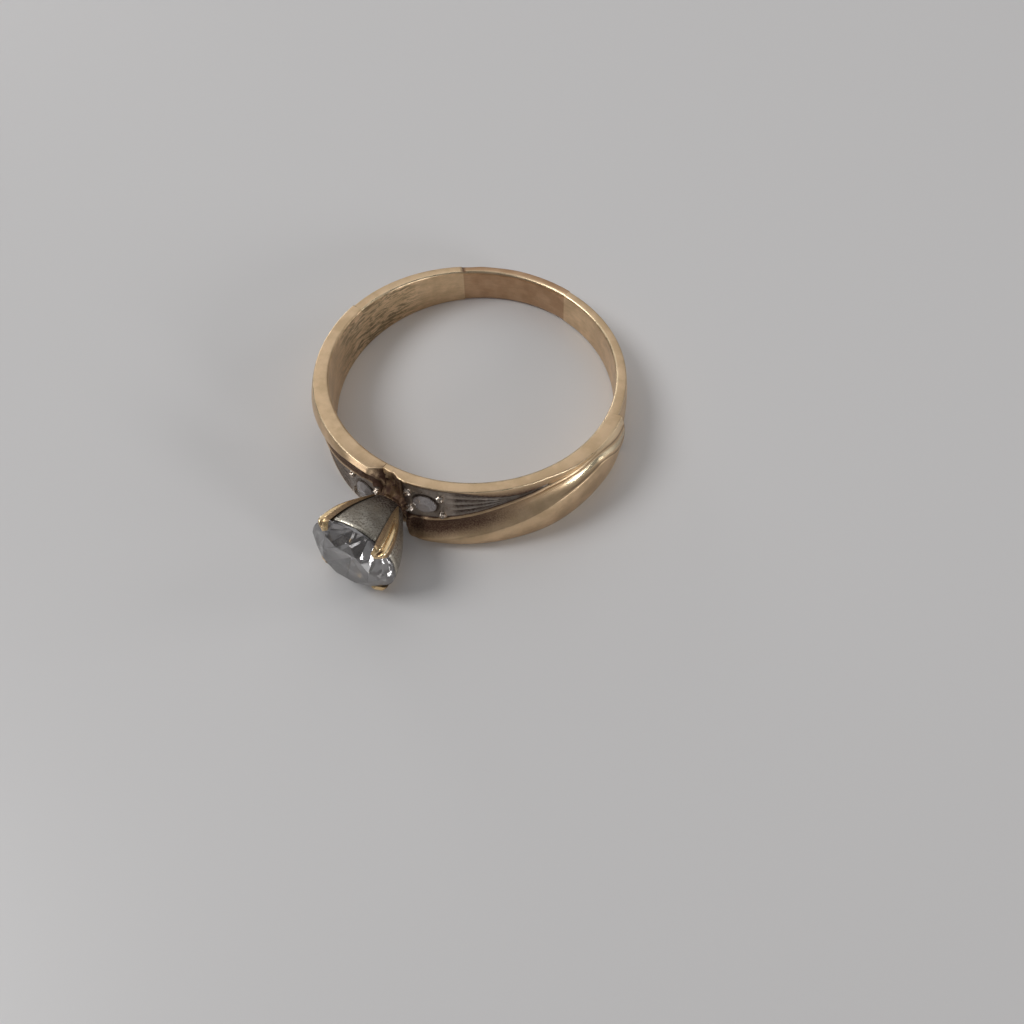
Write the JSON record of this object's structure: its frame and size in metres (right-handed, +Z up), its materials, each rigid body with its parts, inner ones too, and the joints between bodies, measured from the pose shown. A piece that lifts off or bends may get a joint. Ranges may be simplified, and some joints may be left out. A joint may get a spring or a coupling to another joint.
{
  "type": "engagement ring",
  "caption": "Two-colour engagement ring with a crossover shoulder on each side, a claw-set round stone in a cup head and a small bead-set stone beside it",
  "frame": {"origin": "centre of the finger hole", "axes": "+Z along the axis of the finger hole, -Y towards the centre stone, +X to the right seen from the stone with +Z up"},
  "size_m": [0.0193, 0.0236, 0.0054],
  "materials": {
    "yellow_gold": "satin gold, polished on the claws",
    "rose_gold": "satin gold, redder than the rest",
    "white_metal": "white gold, worn",
    "diamond": "clear, faceted"
  },
  "bodies": {
    "root": {"shoulder_right": "yellow_gold", "shoulder_left": "yellow_gold", "shank_right": "yellow_gold", "shank_left": "yellow_gold", "sizing_insert": "rose_gold", "plate_right": "white_metal", "plate_left": "white_metal", "side_stone_right": "diamond", "side_stone_left": "diamond", "head_base": "white_metal", "head_cup": "white_metal", "centre_stone": "diamond", "claw_upper_right": "yellow_gold", "claw_upper_left": "yellow_gold", "claw_lower_left": "yellow_gold", "claw_lower_right": "yellow_gold"}
  },
  "joints": []
}
